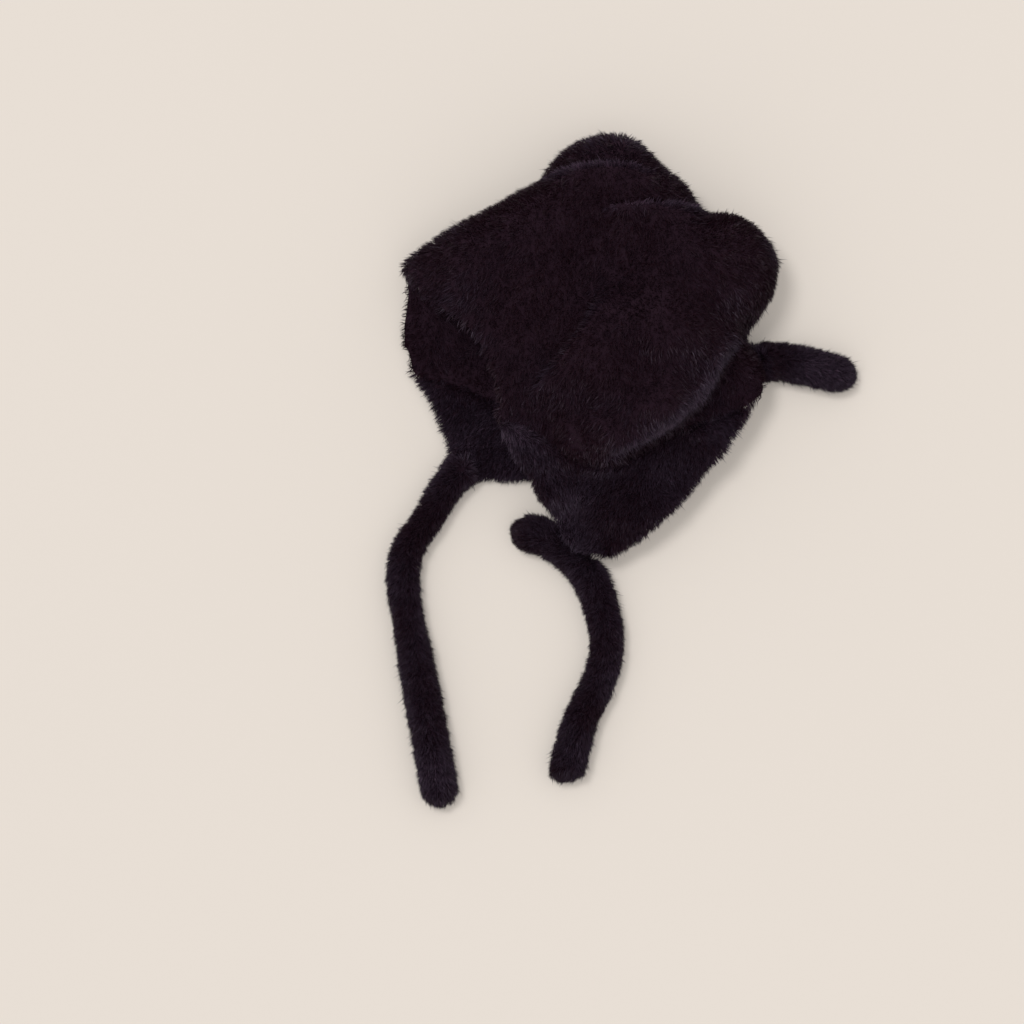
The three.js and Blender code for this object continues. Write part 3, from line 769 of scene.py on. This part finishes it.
@dataclass
class Pile:
    """The strands that grow on a body, each a blade of three triangles bent along the nap.

    A patch is a spot of a few centimetres where the pile is a little longer, lighter in tone and flatter.
    A ruffled or splayed strand is a loose one.
    """

    shade: float
    creases: tuple[Crease, ...]
    ruffles_and_painted_light: tuple[RuffleAndPaintedLight, ...]
    length: float = 8.1 * MILLIMETRE
    length_range: tuple[float, float] = (0.72, 1.12)
    inner_length: float = 7.0 * MILLIMETRE
    width: float = 0.62 * MILLIMETRE
    width_range: tuple[float, float] = (0.75, 1.25)
    width_at_bend: float = 0.8
    lean: float = 0.30
    onward: float = 0.55
    droop: float = 0.12
    unruly: float = 0.24
    unruly_tip: float = 0.6
    unruly_loose: float = 0.4
    clump_share: float = 0.5
    clump_range: tuple[float, float] = (0.3, 1.0)
    clump_at_bend: float = 0.35
    strands_to_a_clump: int = 24
    stray_share: float = 0.035
    stray_length: float = 1.45
    patches_a_metre: float = 26.0
    patch_length: float = 0.22
    patch_lean: float = 0.5
    patch_shade: float = 0.17
    shade_spread: float = 0.07
    rooted: float = 0.8 * MILLIMETRE
    floor_gap: float = 0.15 * MILLIMETRE
    ruffled_lean: float = 0.35
    rim_share: float = 1.5
    hidden_share: float = 0.16
    seen_slope: float = 1.6
    seen_level: float = 0.8
    shut_in_share: float = 0.12
    inner_share: float = 0.35
    rays: int = 14
    ray_seed: int = 11
    ray_start: float = 2.0 * MILLIMETRE
    ray_length: float = 400.0 * MILLIMETRE
    floor_reach: float = 50.0 * MILLIMETRE
    bend_at: float = 0.52

    def openness(self, body: bpy.types.Object, corners: np.ndarray, normals: np.ndarray) -> np.ndarray:
        """Casts a few rays from each vertex and returns the share that leaves the piece.

        Args:
            body: The piece's body.
            corners: Its vertex places.
            normals: Its vertex normals.

        Returns:
            A number from 0, shut in, to 1, open, for each vertex.
        """
        tree = BVHTree.FromObject(body, bpy.context.evaluated_depsgraph_get())
        chance = np.random.default_rng(self.ray_seed)
        ways = unit_rows(chance.normal(size=(self.rays, 3)))
        free = np.zeros(len(corners))
        for number, (corner, normal) in enumerate(zip(corners, normals)):
            start = Vector(corner + normal * self.ray_start)
            for way in ways:
                out = way if way @ normal > 0 else -way
                hit = tree.ray_cast(start, Vector(out), self.ray_length)[0]
                if hit is None and start.z + out[2] * self.floor_reach > 0:
                    free[number] += 1.0 / self.rays
        return free

    def grow(
        self, body: bpy.types.Object, nap: Nap, counts: dict[Face, int], name: str, seed: int
    ) -> list[bpy.types.Object]:
        """Grows the piece's strands as one joined mesh for each side of its wall.

        Args:
            body: The body, before its subdivision.
            nap: The way its pile is brushed.
            counts: How many strands each side gets.
            name: The first part of the new pieces' names.
            seed: The seed of every random choice.

        Returns:
            The new pieces.
        """
        mesh = body.data
        corners, normals = corners_of(mesh), normals_of(mesh)
        triangles, brushed = triangles_of(mesh), nap.field(mesh)
        open_share = self.openness(body, corners, normals)[triangles].mean(1)
        patches = np.array([noise.noise(Vector(corner) * self.patches_a_metre) for corner in corners])
        made = []
        for face, count in counts.items():
            weight = self._weights(face, corners[triangles], normals[triangles], open_share)
            if weight.sum() <= 0:
                continue
            chance = np.random.default_rng(seed + list(Face).index(face))
            picked = chance.choice(len(triangles), size=count, p=weight / weight.sum())
            share = chance.dirichlet((1.0, 1.0, 1.0), size=count)
            chosen = triangles[picked]
            roots = mixed_rows(corners[chosen], share)
            outward = unit_rows(mixed_rows(normals[chosen], share))
            along = unit_rows(mixed_rows(brushed[chosen], share))
            patch = (share * patches[chosen]).sum(1)
            length = self.length if face is Face.OUTER else self.inner_length
            along, loose, painted_light = self._stroked(roots, along)
            blades = self._bent(roots, outward, along, patch, loose, length, chance)
            # each strand's own shade, with the painted highlights and painted light of the crests and
            # patches added
            shade = self.shade + self.patch_shade * patch + painted_light
            made.append(self._mesh_of(blades, shade, f"{name}_{face.value}", chance))
        return made

    def _weights(
        self, face: Face, corners: np.ndarray, normals: np.ndarray, open_share: np.ndarray
    ) -> np.ndarray:
        """Weighs each triangle by its area and by how much of the pile on it is seen.

        Args:
            face: The side of the wall that the pile grows on.
            corners: For each triangle its three corners.
            normals: For each triangle the normals there.
            open_share: How open each triangle is, from 0 to 1.

        Returns:
            One number for each triangle, which is 0 on the other side of the wall.
        """
        inner = open_share < self.inner_share
        wanted = inner if face is Face.INNER else ~inner
        edge_a = corners[:, 1] - corners[:, 0]
        edge_b = corners[:, 2] - corners[:, 0]
        area = np.linalg.norm(np.cross(edge_a, edge_b), axis=1)
        up = normals.mean(1)[:, 2]
        facing = np.clip(up * self.seen_slope + self.seen_level, 0.0, 1.0)
        seen = self.hidden_share + (1.0 - self.hidden_share) * facing
        light = np.clip(open_share / self.inner_share, self.shut_in_share, 1.0)
        rim = 1.0 + self.rim_share * (1.0 - np.abs(up)) ** 2
        return area * seen * wanted * light * rim

    def _stroked(self, roots: np.ndarray, along: np.ndarray) -> tuple[np.ndarray, np.ndarray, np.ndarray]:
        """Finds what the creases and the ruffled patches do to each strand, their painted light included.

        Args:
            roots: The strands' roots.
            along: The way that the nap lies at each.

        Returns:
            The way that each strand lies, how much further it leans and how much painted light it gets.
        """
        loose, painted_light = np.zeros(len(roots)), np.zeros(len(roots))
        for crease in self.creases:
            share = crease.crest(roots)
            turn = (share * crease.splay)[:, None]
            along = along * (1.0 - turn) + crease.to_groove() * turn
            loose = np.maximum(loose, share * crease.splay)
            painted_light = np.maximum(painted_light, share * crease.painted_light)
        for ruffle_and_light in self.ruffles_and_painted_light:
            share = ruffle_and_light.share(roots)
            turn = share[:, None] * min(1.0, float(np.hypot(*ruffle_and_light.sweep)))
            along = along * (1.0 - turn) + np.array([*ruffle_and_light.sweep, 0.0]) * share[:, None]
            loose = np.maximum(loose, share * self.ruffled_lean)
            painted_light = np.maximum(painted_light, share * ruffle_and_light.painted_light)
        return unit_rows(along), loose, painted_light

    def _bent(
        self,
        roots: np.ndarray,
        outward: np.ndarray,
        along: np.ndarray,
        patch: np.ndarray,
        loose: np.ndarray,
        length: float,
        chance: np.random.Generator,
    ) -> np.ndarray:
        """Bends each strand over the nap and gathers its tip into a clump.

        Args:
            roots: The strands' roots.
            outward: The way out of the body at each.
            along: The way that the nap lies at each.
            patch: How much each stands in a patch of longer pile, from -1 to 1.
            loose: How much further each leans.
            length: The pile's length, in metres.
            chance: The source of every random choice.

        Returns:
            For each strand five points: two at the root, two at the bend and the tip.
        """
        count = len(roots)
        size = length * chance.uniform(*self.length_range, count) * (1.0 + self.patch_length * patch)
        size = size * np.where(chance.random(count) < self.stray_share, self.stray_length, 1.0)
        stray = chance.normal(size=(count, 3)) * self.unruly * (1.0 + self.unruly_loose * loose)[:, None]
        lean = (self.lean * (1.0 + self.patch_lean * patch) + loose)[:, None]
        down = np.array([0.0, 0.0, -self.droop])
        first = unit_rows(outward + along * lean + stray)
        second = unit_rows(first + along * self.onward + stray * self.unruly_tip + down)
        roots = roots - outward * self.rooted
        bend = roots + first * (size * self.bend_at)[:, None]
        tips = bend + second * (size * (1.0 - self.bend_at))[:, None]
        guides = chance.choice(count, size=max(1, count // self.strands_to_a_clump), replace=False)
        tree = kdtree.KDTree(len(guides))
        for number, guide in enumerate(guides):
            tree.insert(roots[guide], number)
        tree.balance()
        nearest = guides[[tree.find(root)[1] for root in roots]]
        pull = (self.clump_share * chance.uniform(*self.clump_range, count))[:, None]
        tips = tips + (tips[nearest] - tips) * pull
        bend = bend + (bend[nearest] - bend) * pull * self.clump_at_bend
        side = unit_rows(np.cross(first, unit_rows(chance.normal(size=(count, 3)))))
        half = side * (self.width / 2 * chance.uniform(*self.width_range, count))[:, None]
        slim = half * self.width_at_bend
        blades = np.stack([roots - half, roots + half, bend - slim, bend + slim, tips], 1)
        blades[:, :, 2] = np.maximum(blades[:, :, 2], self.floor_gap)
        return blades

    def _mesh_of(
        self, blades: np.ndarray, shade: np.ndarray, name: str, chance: np.random.Generator
    ) -> bpy.types.Object:
        """Joins the strands into one mesh with its strand map.

        Args:
            blades: Five points for each strand.
            shade: Each strand's shade, from 0, deep, to 1, pale.
            name: The new piece's name.
            chance: The source of every random choice.

        Returns:
            The new piece.
        """
        count = len(blades)
        faces = count * TRIANGLES_OF_BLADE
        numbers = (np.arange(count)[:, None] * POINTS_OF_BLADE + np.array(CORNERS_OF_BLADE)).ravel()
        mesh = bpy.data.meshes.new(name)
        mesh.vertices.add(count * POINTS_OF_BLADE)
        mesh.vertices.foreach_set("co", blades.astype(np.float32).ravel())
        mesh.loops.add(len(numbers))
        mesh.loops.foreach_set("vertex_index", numbers.astype(np.int32))
        mesh.polygons.add(faces)
        mesh.polygons.foreach_set("loop_start", np.arange(faces, dtype=np.int32) * CORNERS_OF_TRIANGLE)
        mesh.update(calc_edges=True)
        shade = np.clip(shade + chance.normal(0.0, self.shade_spread, count), *SHADE_ENDS)
        strand_map = np.empty((count, len(CORNERS_OF_BLADE), 2), np.float32)
        strand_map[:, :, 0] = shade[:, None] + np.array(MAP_ACROSS)
        strand_map[:, :, 1] = np.array(MAP_UP)
        mesh.uv_layers.new(name=STRAND_MAP, do_init=False)
        mesh.uv_layers[STRAND_MAP].uv.foreach_set("vector", strand_map.ravel())
        mesh.validate()
        piece = bpy.data.objects.new(name, mesh)
        bpy.context.scene.collection.objects.link(piece)
        return piece


# The folds of the crown. Their routes are in plan millimetres from the middle of the model. Each crest
# carries a painted highlight, a band of paler strands.
TOP_FOLD = Crease(
    ((30.0, 232.0), (7.0, 240.0), (-18.0, 241.0), (-42.0, 237.0), (-68.0, 228.0)),
    painted_light=0.60,
)
SECOND_FOLD = Crease(
    ((80.0, 201.0), (62.0, 206.5), (36.0, 209.0), (13.0, 210.5), (-22.0, 206.0)),
    painted_light=0.56,
)
SIDE_RIDGE = Crease(
    ((-12.0, 142.0), (-38.0, 105.0), (-59.0, 78.0), (-78.0, 54.0)),
    groove=2.6 * MILLIMETRE,
    lip=1.6 * MILLIMETRE,
    painted_light=0.16,
)
LOBE_EDGE = Crease(
    ((-16.0, 8.0), (13.0, 24.0), (37.0, 40.0), (62.0, 62.0), (80.0, 92.0), (95.0, 108.0)),
    crest_line=0.0,
    crest_edge=2.4 * MILLIMETRE,
    crest_reach=9.0 * MILLIMETRE,
    painted_light=0.40,
    fade=0.07,
)
# No fold here: only a splayed crest with a painted highlight along the arc of the nape.
NAPE_ARC = Crease(
    ((118.0, 72.0), (115.0, 89.0), (106.0, 99.0), (94.0, 106.0)),
    lip=0.0,
    groove=0.0,
    overhang=0.0,
    crest_line=0.0,
    crest_reach=4.0 * MILLIMETRE,
    painted_light=0.26,
    lowest=6.0 * MILLIMETRE,
)
FOLDS = (TOP_FOLD, SECOND_FOLD, SIDE_RIDGE, LOBE_EDGE, NAPE_ARC)

# Pushes that neighbours share, so that their seam stays shut.
LEFT_RIM = (
    Nudge((-174.0, 122.0), (-3.0, 0.0), 20.0),
    Nudge((-172.0, 92.0), (-5.4, 0.0), 24.0),
    Nudge((-161.0, 61.0), (1.6, 0.4), 16.0),
)
NAPE_EDGE = (
    Nudge((99.0, 46.0), (-2.4, 1.7), 12.0),
    Nudge((117.0, 66.0), (12.0, -4.0), 11.0),
)

# Where the pile is stroked and its strands are painted paler, as painted light on lit patches and painted
# fill in the shade beside the lobe and at the nape's seam: from the brow down to the near flap's tip.
BROW_TO_TIP = (
    RuffleAndPaintedLight((-150.0, 155.0), 20.0, 0.08),
    RuffleAndPaintedLight((-128.0, 138.0), 20.0, 0.08),
    RuffleAndPaintedLight((-113.0, 107.0), 12.0, 0.10),
    RuffleAndPaintedLight((-85.0, 32.0), 16.0, 0.12),
    RuffleAndPaintedLight((-62.0, 8.0), 20.0, 0.05),
    RuffleAndPaintedLight((-46.0, -22.0), 22.0, 0.03),
    RuffleAndPaintedLight((-26.0, -58.0), 16.0, 0.08),
    RuffleAndPaintedLight((38.0, -4.0), 30.0, 0.16),
    RuffleAndPaintedLight((80.0, 34.0), 18.0, 0.12, (0.5, -0.5)),
)

# Painted light on lit patches of the pile: above the lobe's edge, on the roll at the top and on the right
# of the crown.
LOBE_AND_ROLL = (
    RuffleAndPaintedLight((12.0, 34.0), 16.0, 0.12),
    RuffleAndPaintedLight((42.0, 54.0), 14.0, 0.10),
    RuffleAndPaintedLight((-24.0, 262.0), 16.0, 0.14),
    RuffleAndPaintedLight((6.0, 262.0), 16.0, 0.14),
    RuffleAndPaintedLight((30.0, 236.0), 14.0, 0.10),
    RuffleAndPaintedLight((118.0, 182.0), 18.0, 0.10),
)

# Painted light on lit patches of the pile: on the tail and along the ties.
TAIL_AND_TIES = (
    RuffleAndPaintedLight((154.0, 90.0), 28.0, 0.17),
    RuffleAndPaintedLight((-69.0, -49.0), 16.0, 0.10),
    RuffleAndPaintedLight((-4.0, -150.0), 30.0, 0.07),
    RuffleAndPaintedLight((-32.0, -222.0), 26.0, 0.05),
    RuffleAndPaintedLight((-144.0, -240.0), 26.0, 0.09),
    RuffleAndPaintedLight((-163.0, -110.0), 26.0, 0.05),
)

# Fringes swept outwards over the rims, their strands painted a little paler as painted light along the
# edges.
RIM_FRINGES = (
    RuffleAndPaintedLight((-174.0, 110.0), 30.0, 0.04, (-0.9, -0.2)),
    RuffleAndPaintedLight((-164.0, 66.0), 28.0, 0.04, (-0.8, -0.4)),
    RuffleAndPaintedLight((-140.0, 26.0), 28.0, 0.04, (-0.7, -0.4)),
    RuffleAndPaintedLight((-92.0, -8.0), 20.0, 0.06, (0.0, -0.7)),
    RuffleAndPaintedLight((10.0, -60.0), 26.0, 0.04, (0.4, -0.7)),
    RuffleAndPaintedLight((48.0, -22.0), 26.0, 0.04, (0.6, -0.6)),
    RuffleAndPaintedLight((84.0, 22.0), 26.0, 0.04, (0.7, -0.5)),
    RuffleAndPaintedLight((188.0, 78.0), 14.0, 0.10, (0.8, -0.3)),
)
RUFFLES_AND_PAINTED_LIGHT = (*BROW_TO_TIP, *LOBE_AND_ROLL, *TAIL_AND_TIES, *RIM_FRINGES)


@dataclass(kw_only=True)
class PlushPiece:
    """One sub-assembly of the bonnet: a soft body and the pile that grows on it.

    The nap is brushed away from or towards one spot, given in plan millimetres and a height.
    """

    node: str
    slot: str
    seed: int
    voxel: float
    inset: float
    swell: float
    shade: float
    outer_strands: int
    inner_strands: int = 0
    brushed_at: tuple[float, float, float]
    brushed: NapWay = NapWay.AWAY
    meets: tuple[str, ...] = ()
    creases: tuple[Crease, ...] = ()
    nudges: tuple[Nudge, ...] = ()
    stuffing: float | None = None

    def soft_body(self) -> SoftBody:
        """Describes the piece's body, still to be built.

        Returns:
            The body's sizes and its neighbours.
        """
        return SoftBody(
            self.node,
            f"{self.node}_body",
            self.meets,
            self.creases,
            self.nudges,
            voxel=self.voxel,
            inset=self.inset,
            swell=self.swell,
        )

    def fur_on(self, body: bpy.types.Object) -> list[bpy.types.Object]:
        """Grows the piece's strands.

        Args:
            body: The body, before its subdivision.

        Returns:
            One joined mesh of strands for each side that has any.
        """
        counts = {Face.OUTER: self.outer_strands}
        if self.inner_strands:
            counts[Face.INNER] = self.inner_strands
        pile = Pile(shade=self.shade, creases=FOLDS, ruffles_and_painted_light=RUFFLES_AND_PAINTED_LIGHT)
        nap = Nap(place(*self.brushed_at), self.brushed)
        return pile.grow(body, nap, counts, f"{self.node}_fur", self.seed)

    def build(self) -> list[bpy.types.Object]:
        """Builds the body and grows its pile.

        Returns:
            The body followed by its strand pieces.
        """
        form = self.soft_body()
        body = form.build()
        strands = self.fur_on(body)
        form.finish(body)
        return [body, *strands]

    def dress(
        self, made: list[bpy.types.Object], backing: bpy.types.Material, pile: bpy.types.Material
    ) -> None:
        """Gives the pieces their materials, rides them on the root and hides the solid that they replace.

        Args:
            made: The body followed by its strand pieces.
            backing: The material of the body.
            pile: The material of the strands.
        """
        body, *strands = made
        body.data.materials.append(backing)
        for piece in strands:
            piece.data.materials.append(pile)
        for piece in made:
            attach(piece, "root")
        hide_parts(self.node)


@dataclass(kw_only=True)
class PlushWall(PlushPiece):
    """A panel of the bonnet's thick wall, with pile on both of its sides."""

    voxel: float = 4.5 * MILLIMETRE
    inset: float = 2.6 * MILLIMETRE
    swell: float = 1.2 * MILLIMETRE


@dataclass(kw_only=True)
class StuffedStrap(PlushPiece):
    """A stuffed round strap of plush: a tie or the tail."""

    slot: str = "tie_fur"
    voxel: float = 4.0 * MILLIMETRE
    inset: float = 3.6 * MILLIMETRE
    swell: float = 2.4 * MILLIMETRE
    shade: float = 0.55
    stuffing: float | None = 0.7


@dataclass(kw_only=True)
class Crown(PlushWall):
    """The puffed, slumped hood from the brow over the top to the nape."""

    node: str = "crown"
    slot: str = "crown_fur"
    seed: int = 101
    shade: float = 0.44
    outer_strands: int = 66000
    inner_strands: int = 16000
    brushed_at: tuple[float, float, float] = (0.0, 262.0, 40.0)
    meets: tuple[str, ...] = ("near_ear_flap", "far_ear_flap")
    creases: tuple[Crease, ...] = FOLDS
    nudges: tuple[Nudge, ...] = (
        *LEFT_RIM,
        *NAPE_EDGE,
        Nudge((112.0, 112.0), (-13.0, -2.0), 16.0),
        Nudge((-170.0, 169.0), (-1.6, 1.8), 18.0),
        Nudge((36.0, 238.0), (-0.5, 0.0), 22.0),
        Nudge((-34.0, 260.0), (-1.0, 1.5), 12.0),
        Nudge((5.0, 263.0), (1.5, 1.8), 13.0),
        Nudge((70.0, 208.0), (-2.5, -3.5), 12.0),
        Nudge((-67.0, 230.0), (2.0, -1.0), 8.0),
        Nudge((108.0, 106.0), (0.0, -6.0), 12.0),
    )


@dataclass(kw_only=True)
class NearEarFlap(PlushWall):
    """The upper ear flap, which tapers to a rounded tip over the near tie."""

    node: str = "near_ear_flap"
    slot: str = "flap_fur"
    seed: int = 202
    # paler strands than the crown's: painted fill for the shade under the lobe
    shade: float = 0.56
    outer_strands: int = 30000
    inner_strands: int = 8000
    brushed_at: tuple[float, float, float] = (-40.0, -70.0, 30.0)
    brushed: NapWay = NapWay.TOWARDS
    meets: tuple[str, ...] = ("crown",)
    nudges: tuple[Nudge, ...] = (
        *NAPE_EDGE,
        Nudge((2.0, -62.0), (0.8, -2.4), 26.0),
        Nudge((-6.0, -66.0), (0.0, -1.4), 12.0),
        Nudge((38.0, -35.0), (-0.8, 0.8), 12.0),
        Nudge((44.0, -20.0), (1.5, -1.5), 20.0),
        Nudge((73.0, 8.0), (1.3, -1.1), 14.0),
        Nudge((-62.0, -22.0), (-1.6, -0.6), 12.0),
    )


@dataclass(kw_only=True)
class FarEarFlap(PlushWall):
    """The lower ear flap, which lies on the surface beside the face opening."""

    node: str = "far_ear_flap"
    slot: str = "flap_fur"
    seed: int = 303
    # paler strands than the crown's: painted fill for the shade the far flap lies in, low beside the
    # crown's rim
    shade: float = 0.66
    outer_strands: int = 16000
    inner_strands: int = 4000
    brushed_at: tuple[float, float, float] = (-120.0, 0.0, 8.0)
    brushed: NapWay = NapWay.TOWARDS
    meets: tuple[str, ...] = ("crown", "far_tie")
    nudges: tuple[Nudge, ...] = (
        *LEFT_RIM,
        Nudge((-90.0, -8.0), (0.0, -2.0), 24.0),
        Nudge((-70.0, 2.0), (6.0, 2.0), 12.0),
    )


@dataclass(kw_only=True)
class NearTie(StuffedStrap):
    """The tie that passes below the near flap's tip and curves down."""

    node: str = "near_tie"
    seed: int = 404
    outer_strands: int = 26000
    brushed_at: tuple[float, float, float] = (-22.0, -68.0, 10.0)
    nudges: tuple[Nudge, ...] = (
        Nudge((-13.0, -86.0), (4.4, 0.8), 24.0),
        Nudge((-1.0, -134.0), (3.1, 0.0), 30.0),
        Nudge((-24.0, -192.0), (-1.7, 0.0), 32.0),
        Nudge((-42.0, -250.0), (0.6, 6.0), 14.0),
        Nudge((-68.0, -48.0), (0.0, 0.0), 18.0, puff=3.0),
        Nudge((-50.0, -74.0), (-1.2, -1.2), 18.0),
        Nudge((-66.0, -36.0), (0.0, 1.3), 12.0),
    )


@dataclass(kw_only=True)
class FarTie(StuffedStrap):
    """The tie from the far flap's tip, which curves down on the left."""

    node: str = "far_tie"
    seed: int = 505
    outer_strands: int = 26000
    brushed_at: tuple[float, float, float] = (-128.0, 0.0, 12.0)
    meets: tuple[str, ...] = ("far_ear_flap",)
    nudges: tuple[Nudge, ...] = (
        Nudge((-172.0, -70.0), (-3.0, 0.0), 30.0),
        Nudge((-158.0, -35.0), (2.5, -1.5), 18.0),
        Nudge((-156.0, -181.0), (0.0, 0.0), 60.0, puff=0.9),
        Nudge((-139.0, -250.0), (0.0, 2.0), 18.0),
    )


@dataclass(kw_only=True)
class Tail(StuffedStrap):
    """The short tail at the nape, which points to the right."""

    node: str = "tail"
    seed: int = 606
    outer_strands: int = 14000
    brushed_at: tuple[float, float, float] = (110.0, 92.0, 12.0)
    meets: tuple[str, ...] = ("crown",)
    nudges: tuple[Nudge, ...] = (
        Nudge((108.0, 102.0), (0.0, -6.0), 10.0),
        Nudge((150.0, 78.0), (-0.3, 1.5), 40.0),
        Nudge((176.0, 84.0), (0.0, 0.0), 20.0, puff=-1.4),
    )


@dataclass(frozen=True)
class Sun:
    """One distant soft light: the direction it comes from, its power and its width in degrees."""

    name: str
    from_way: tuple[float, float, float]
    power: float
    spread: float

    def build(self) -> None:
        """Hangs the light."""
        lamp = bpy.data.lights.new(self.name, "SUN")
        lamp.angle = radians(self.spread)
        lamp.energy = self.power
        light = bpy.data.objects.new(self.name, lamp)
        light.rotation_euler = (-Vector(self.from_way)).to_track_quat("-Z", "Y").to_euler()
        light.location = Vector(self.from_way)
        bpy.context.scene.collection.objects.link(light)


@dataclass
class Studio:
    """The pale floor, the soft lights and the camera straight above."""

    photo_centre: tuple[float, float] = (-0.0876, -0.0328)
    photo_width: float = 0.8095
    photo_level: float = 0.035
    camera_height: float = 5.0
    farthest: float = 50.0
    sensor: float = 36.0
    floor_size: float = 12.0
    floor_colour: tuple[float, float, float] = (0.740, 0.678, 0.616)
    floor_drift: float = 1.5
    floor_unevenness: float = 0.005
    floor_roughness: float = 0.9
    floor_gloss: float = 0.1
    floor_glow: float = 0.03
    sky_colour: tuple[float, float, float] = (1.0, 0.99, 0.98)
    sky_power: float = 0.60
    key: Sun = Sun("key_light", (-1.0, 1.0, 3.1), 1.02, 18.0)
    top: Sun = Sun("top_light", (0.0, 0.0, 1.0), 0.48, 5.0)

    def build(self) -> None:
        """Makes the camera, the floor and the lights."""
        self._camera()
        self._floor()
        self._lights()

    def _camera(self) -> None:
        """Places the camera straight above the middle of the photograph."""
        eye = bpy.data.cameras.new("photo_camera")
        eye.sensor_width = self.sensor
        eye.lens = self.sensor * (self.camera_height - self.photo_level) / self.photo_width
        eye.clip_end = self.farthest
        camera = bpy.data.objects.new("photo_camera", eye)
        camera.location = (*self.photo_centre, self.camera_height)
        bpy.context.scene.collection.objects.link(camera)
        bpy.context.scene.camera = camera

    def _floor(self) -> None:
        """Lays the plain pale floor."""
        bpy.ops.object.select_all(action="DESELECT")
        bpy.ops.mesh.primitive_plane_add(size=self.floor_size, location=(0.0, 0.0, 0.0))
        floor = bpy.context.object
        floor.name = "studio_floor"
        made, shader = new_material("studio_paper")
        tree = made.node_tree
        set_inputs(
            shader,
            {
                "Roughness": self.floor_roughness,
                "Specular IOR Level": self.floor_gloss,
                "Emission Color": (*self.floor_colour, 1.0),
                "Emission Strength": self.floor_glow / self.floor_colour[0],
            },
        )
        drift = noise_on_object(tree, self.floor_drift)
        darker, lighter = (
            tuple(part * (1.0 + change) for part in self.floor_colour)
            for change in (-self.floor_unevenness, self.floor_unevenness)
        )
        paper = add_ramp(tree, drift.outputs["Fac"], ((0.0, darker), (1.0, lighter)))
        tree.links.new(paper, shader.inputs["Base Color"])
        floor.data.materials.append(made)

    def _lights(self) -> None:
        """Hangs a soft key at the upper left, a light straight above and an even sky."""
        scene = bpy.context.scene
        scene.view_settings.view_transform = "Standard"
        sky = bpy.data.worlds.new("studio_sky")
        sky.use_nodes = True
        background = sky.node_tree.nodes["Background"]
        set_inputs(background, {"Color": (*self.sky_colour, 1.0), "Strength": self.sky_power})
        scene.world = sky
        self.key.build()
        self.top.build()


def main() -> None:
    """Builds the studio and the bonnet's pieces, in order."""
    logging.basicConfig(level=logging.INFO, format="%(name)s: %(message)s")
    Studio().build()
    backing = BackingFinish().material()
    pile = PileFinish().material()
    for piece in (Crown(), NearEarFlap(), FarEarFlap(), NearTie(), FarTie(), Tail()):
        made = piece.build()
        piece.dress(made, backing, pile)
        for part in made:
            log.info("%s: %d faces", part.name, len(part.data.polygons))


if __name__ == "__main__":
    main()
